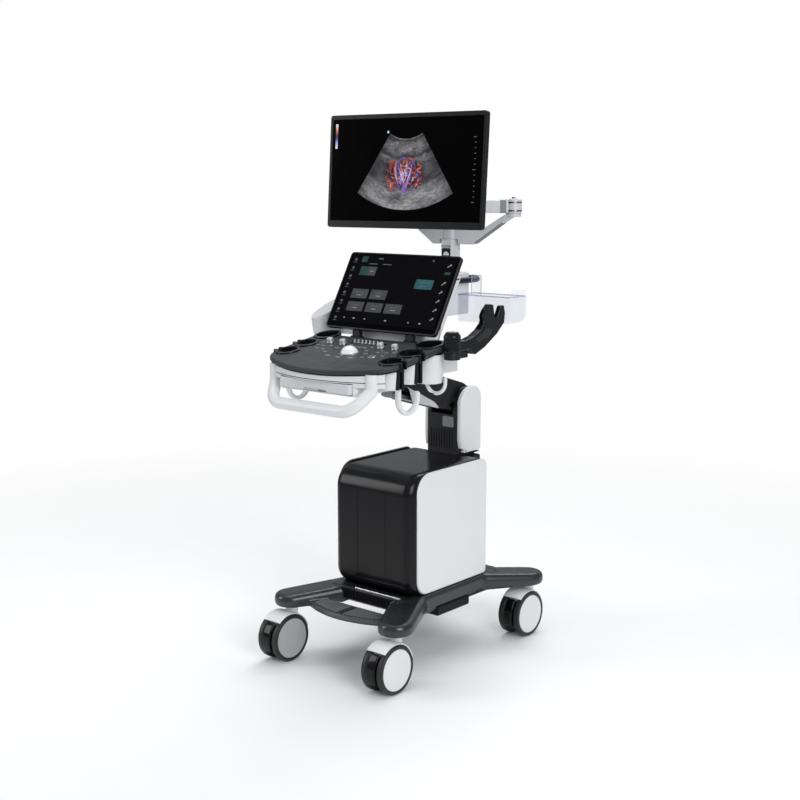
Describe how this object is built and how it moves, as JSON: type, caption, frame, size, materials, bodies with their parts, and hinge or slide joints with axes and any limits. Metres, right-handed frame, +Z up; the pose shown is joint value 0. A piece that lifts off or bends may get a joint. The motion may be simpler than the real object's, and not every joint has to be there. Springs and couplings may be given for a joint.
{
  "type": "cart-based ultrasound scanner",
  "caption": "Wheeled ultrasound scanner: monitor on a jointed arm, tilting touch screen, probe cups, lift arm and cabinet on swivel casters.",
  "frame": {"origin": "centre of the bounding box on the floor", "axes": "+X to the machine's right as its operator faces it, +Y away from the operator, +Z up"},
  "size_m": [0.5536, 0.7354, 1.4272],
  "materials": {
    "charcoal_satin": "satin charcoal paint",
    "black_gloss": "gloss black",
    "black_satin": "satin black",
    "white_plastic": "moulded, light satin",
    "silver_paint": "light grey metallic paint",
    "clear_plastic": "clear with a lavender tint",
    "steel": "bare sheet",
    "grey_rubber": "matt",
    "screen_glass": "dark glass",
    "tyre_rubber": "matt"
  },
  "bodies": {
    "cart": {"base_frame": "charcoal_satin", "footrest_tread": "grey_rubber", "cabinet_shell": "black_gloss", "cabinet_side_right": "white_plastic", "cabinet_side_left": "white_plastic", "cabinet_rear_cover": "black_satin", "electronics_module": "steel", "column_core": "black_satin", "column_cover_right": "white_plastic", "column_cover_left": "white_plastic"},
    "arm": {"lift_arm": "black_satin"},
    "link": {"lift_link": "grey_rubber"},
    "carrier": {"console_carrier": "black_satin"},
    "console": {"console_base": "white_plastic", "console_top": "charcoal_satin", "front_handle": "white_plastic", "probe_holder_right": "white_plastic", "probe_holder_left": "white_plastic", "probe_liner_right": "black_satin", "probe_liner_left": "black_satin", "cable_hook_right": "white_plastic", "cable_hook_left": "white_plastic", "rear_housing": "white_plastic", "gel_cup": "white_plastic", "rear_handle": "black_satin", "clear_bin": "clear_plastic", "cable_arm_mount": "black_satin", "touch_hinge": "black_satin", "monitor_post": "silver_paint"},
    "drawer": {"keyboard_drawer": "white_plastic"},
    "ball": {"trackball": "white_plastic"},
    "knob_1_body": {"knob_1": "silver_paint"},
    "knob_2_body": {"knob_2": "silver_paint"},
    "knob_3_body": {"knob_3": "silver_paint"},
    "knob_4_body": {"knob_4": "silver_paint"},
    "button": {"freeze_button": "grey_rubber"},
    "cable_swing": {"cable_arm": "black_satin"},
    "touch": {"touch_housing": "black_satin", "touch_glass": "screen_glass"},
    "lower_arm": {"monitor_arm_lower": "silver_paint"},
    "upper_arm": {"monitor_arm_upper": "silver_paint"},
    "yoke": {"monitor_yoke": "silver_paint"},
    "monitor": {"monitor_shell": "charcoal_satin", "monitor_glass": "screen_glass"},
    "fork_front_right": {"caster_housing_front_right": "silver_paint"},
    "brake_front_right": {"brake_lever_front_right": "black_gloss"},
    "outer_front_right": {"wheel_outer_front_right": "tyre_rubber"},
    "inner_front_right": {"wheel_inner_front_right": "tyre_rubber"},
    "fork_front_left": {"caster_housing_front_left": "silver_paint"},
    "brake_front_left": {"brake_lever_front_left": "black_gloss"},
    "outer_front_left": {"wheel_outer_front_left": "tyre_rubber"},
    "inner_front_left": {"wheel_inner_front_left": "tyre_rubber"},
    "fork_rear_right": {"caster_housing_rear_right": "silver_paint"},
    "brake_rear_right": {"brake_lever_rear_right": "black_gloss"},
    "outer_rear_right": {"wheel_outer_rear_right": "tyre_rubber"},
    "inner_rear_right": {"wheel_inner_rear_right": "tyre_rubber"},
    "fork_rear_left": {"caster_housing_rear_left": "silver_paint"},
    "brake_rear_left": {"brake_lever_rear_left": "black_gloss"},
    "outer_rear_left": {"wheel_outer_rear_left": "tyre_rubber"},
    "inner_rear_left": {"wheel_inner_rear_left": "tyre_rubber"}
  },
  "joints": [
    {"name": "lift", "type": "hinge", "parent": "cart", "child": "arm", "pos_m": [0.01813, 0.21606, 0.668], "axis": [-1, 0, 0], "range_deg": [-14, 22]},
    {"name": "link_turn", "type": "hinge", "parent": "cart", "child": "link", "pos_m": [0.01813, 0.19606, 0.6334], "axis": [-1, 0, 0], "range_deg": [-14, 22]},
    {"name": "head_level", "type": "hinge", "parent": "arm", "child": "carrier", "pos_m": [0.01813, -0.02894, 0.738], "axis": [-1, 0, 0], "range_deg": [-22, 14]},
    {"name": "console_swivel", "type": "hinge", "parent": "carrier", "child": "console", "pos_m": [0.01813, -0.02894, 0.765], "axis": [0, 0, 1], "range_deg": [-25, 25]},
    {"name": "touch_tilt", "type": "hinge", "parent": "console", "child": "touch", "pos_m": [0.01813, -0.07494, 0.8475], "axis": [1, 0, 0], "range_deg": [-3, 30]},
    {"name": "monitor_arm_swivel", "type": "hinge", "parent": "console", "child": "lower_arm", "pos_m": [0.01813, 0.20706, 1.1003], "axis": [0, 0, 1], "range_deg": [-35, 35]},
    {"name": "elbow_swivel", "type": "hinge", "parent": "lower_arm", "child": "upper_arm", "pos_m": [0.18313, 0.26606, 1.1705], "axis": [0, 0, 1], "range_deg": [-20, 45]},
    {"name": "yoke_swivel", "type": "hinge", "parent": "upper_arm", "child": "yoke", "pos_m": [0.00733, 0.11556, 1.2053], "axis": [0, 0, 1], "range_deg": [-30, 30]},
    {"name": "monitor_tilt", "type": "hinge", "parent": "yoke", "child": "monitor", "pos_m": [0.0119, 0.06979, 1.27], "axis": [0.9951, 0.0993, 0], "range_deg": [-12, 12]},
    {"name": "drawer_slide", "type": "slide", "parent": "console", "child": "drawer", "axis": [0, -1, 0], "range_m": [0, 0.13]},
    {"name": "cable_arm_swivel", "type": "hinge", "parent": "console", "child": "cable_swing", "pos_m": [0.25533, -0.09094, 0.8378], "axis": [0, 0, 1], "range_deg": [-75, 12]},
    {"name": "freeze_push", "type": "slide", "parent": "console", "child": "button", "axis": [0, 0.1783, -0.984], "range_m": [0, 0.0018], "stiffness_N_per_m": 400, "springref_m": -0.001},
    {"name": "trackball_roll", "type": "hinge", "parent": "console", "child": "ball", "pos_m": [0.02313, -0.21094, 0.82401], "axis": [1, 0, 0], "continuous": true},
    {"name": "knob_1_turn", "type": "hinge", "parent": "console", "child": "knob_1_body", "pos_m": [-0.09187, -0.15794, 0.83961], "axis": [0, -0.1783, 0.984], "continuous": true},
    {"name": "knob_2_turn", "type": "hinge", "parent": "console", "child": "knob_2_body", "pos_m": [-0.04587, -0.15894, 0.83943], "axis": [0, -0.1783, 0.984], "continuous": true},
    {"name": "knob_3_turn", "type": "hinge", "parent": "console", "child": "knob_3_body", "pos_m": [0.08213, -0.15894, 0.83943], "axis": [0, -0.1783, 0.984], "continuous": true},
    {"name": "knob_4_turn", "type": "hinge", "parent": "console", "child": "knob_4_body", "pos_m": [0.12813, -0.15794, 0.83961], "axis": [0, -0.1783, 0.984], "continuous": true},
    {"name": "brake_front_right_press", "type": "hinge", "parent": "fork_front_right", "child": "brake_front_right", "pos_m": [0.19963, -0.27354, 0.0625], "axis": [1, 0, 0], "range_deg": [0, 9]},
    {"name": "brake_front_left_press", "type": "hinge", "parent": "fork_front_left", "child": "brake_front_left", "pos_m": [-0.16337, -0.27354, 0.0625], "axis": [1, 0, 0], "range_deg": [0, 9]},
    {"name": "brake_rear_right_press", "type": "hinge", "parent": "fork_rear_right", "child": "brake_rear_right", "pos_m": [0.20693, 0.29466, 0.0625], "axis": [1, 0, 0], "range_deg": [0, 9]},
    {"name": "brake_rear_left_press", "type": "hinge", "parent": "fork_rear_left", "child": "brake_rear_left", "pos_m": [-0.17067, 0.29466, 0.0625], "axis": [1, 0, 0], "range_deg": [0, 9]},
    {"name": "caster_front_right", "type": "hinge", "parent": "cart", "child": "fork_front_right", "pos_m": [0.19963, -0.24054, 0.0625], "axis": [0, 0, 1], "continuous": true},
    {"name": "caster_front_left", "type": "hinge", "parent": "cart", "child": "fork_front_left", "pos_m": [-0.16337, -0.24054, 0.0625], "axis": [0, 0, 1], "continuous": true},
    {"name": "caster_rear_right", "type": "hinge", "parent": "cart", "child": "fork_rear_right", "pos_m": [0.20693, 0.32766, 0.0625], "axis": [0, 0, 1], "continuous": true},
    {"name": "caster_rear_left", "type": "hinge", "parent": "cart", "child": "fork_rear_left", "pos_m": [-0.17067, 0.32766, 0.0625], "axis": [0, 0, 1], "continuous": true},
    {"name": "roll_outer_front_right", "type": "hinge", "parent": "fork_front_right", "child": "outer_front_right", "pos_m": [0.19963, -0.27354, 0.0625], "axis": [1, 0, 0], "continuous": true},
    {"name": "roll_inner_front_right", "type": "hinge", "parent": "fork_front_right", "child": "inner_front_right", "pos_m": [0.19963, -0.27354, 0.0625], "axis": [1, 0, 0], "continuous": true},
    {"name": "roll_outer_front_left", "type": "hinge", "parent": "fork_front_left", "child": "outer_front_left", "pos_m": [-0.16337, -0.27354, 0.0625], "axis": [1, 0, 0], "continuous": true},
    {"name": "roll_inner_front_left", "type": "hinge", "parent": "fork_front_left", "child": "inner_front_left", "pos_m": [-0.16337, -0.27354, 0.0625], "axis": [1, 0, 0], "continuous": true},
    {"name": "roll_outer_rear_right", "type": "hinge", "parent": "fork_rear_right", "child": "outer_rear_right", "pos_m": [0.20693, 0.29466, 0.0625], "axis": [1, 0, 0], "continuous": true},
    {"name": "roll_inner_rear_right", "type": "hinge", "parent": "fork_rear_right", "child": "inner_rear_right", "pos_m": [0.20693, 0.29466, 0.0625], "axis": [1, 0, 0], "continuous": true},
    {"name": "roll_outer_rear_left", "type": "hinge", "parent": "fork_rear_left", "child": "outer_rear_left", "pos_m": [-0.17067, 0.29466, 0.0625], "axis": [1, 0, 0], "continuous": true},
    {"name": "roll_inner_rear_left", "type": "hinge", "parent": "fork_rear_left", "child": "inner_rear_left", "pos_m": [-0.17067, 0.29466, 0.0625], "axis": [1, 0, 0], "continuous": true}
  ],
  "couplings": [
    {"joint": "link_turn", "follows": "lift", "ratio": 1},
    {"joint": "head_level", "follows": "lift", "ratio": -1}
  ]
}
